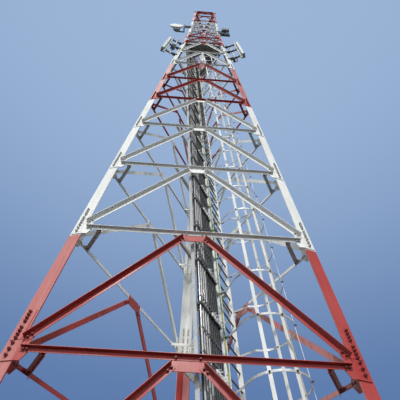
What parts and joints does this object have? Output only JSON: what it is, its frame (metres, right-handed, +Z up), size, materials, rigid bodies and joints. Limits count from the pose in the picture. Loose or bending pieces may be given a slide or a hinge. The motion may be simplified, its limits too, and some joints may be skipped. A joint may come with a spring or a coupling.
{
  "type": "three-legged lattice radio mast",
  "caption": "Tall tapering mast of angle steel on a triangle of legs, with a caged ladder, cable rack, deck and aerials.",
  "frame": {"origin": "middle of the underside of the base plate under the rear leg", "axes": "+Z up the tower, -Y out of the front face, +X to the right seen from the front"},
  "size_m": [4.2744, 3.7017, 25.87],
  "materials": {
    "red_paint": "chalky matt, worn at the edges",
    "white_paint": "chalky matt, dirty in the corners",
    "galvanised": "dull zinc",
    "dark_steel": "matt",
    "cable": "satin sheath",
    "earth_cable": "green and yellow sheath",
    "aerial_shell": "matt",
    "grey_shell": "matt"
  },
  "bodies": {
    "root": {"base_plates": "galvanised", "legs_red": "red_paint", "legs_white": "white_paint", "mast_legs_red": "red_paint", "mast_legs_white": "white_paint", "mast_legs_red_top": "red_paint", "leg_splices_red": "red_paint", "leg_splices_white": "white_paint", "bracing_front_red_lower": "red_paint", "bracing_right_red_lower": "red_paint", "bracing_left_red_lower": "red_paint", "bracing_front_white_lower": "white_paint", "bracing_right_white_lower": "white_paint", "bracing_left_white_lower": "white_paint", "bracing_red_upper": "red_paint", "bracing_white_upper": "white_paint", "mast_bracing_red": "red_paint", "mast_bracing_white": "white_paint", "mast_bracing_red_top": "red_paint", "mast_top_plate": "red_paint", "corner_braces_left": "white_paint", "corner_braces_right": "white_paint", "corner_braces_rear": "white_paint", "ladder_beams": "white_paint", "ladder_brackets": "galvanised", "ladder_stiles": "white_paint", "ladder_rungs": "dark_steel", "cage_hoops": "galvanised", "cage_straps": "white_paint", "cable_rack": "galvanised", "feeder_cables": "cable", "cable_clamps": "galvanised", "earthing_cable": "earth_cable", "platform_deck": "dark_steel", "platform_joists": "dark_steel", "platform_rails": "galvanised", "feeder_box": "grey_shell", "antenna_arms": "dark_steel", "antenna_pipes": "galvanised", "panel_antennas": "aerial_shell", "radio_units": "grey_shell", "dish_antenna": "aerial_shell", "dish_bracket": "dark_steel", "upper_boxes": "grey_shell", "box_bracket": "dark_steel"}
  },
  "joints": []
}
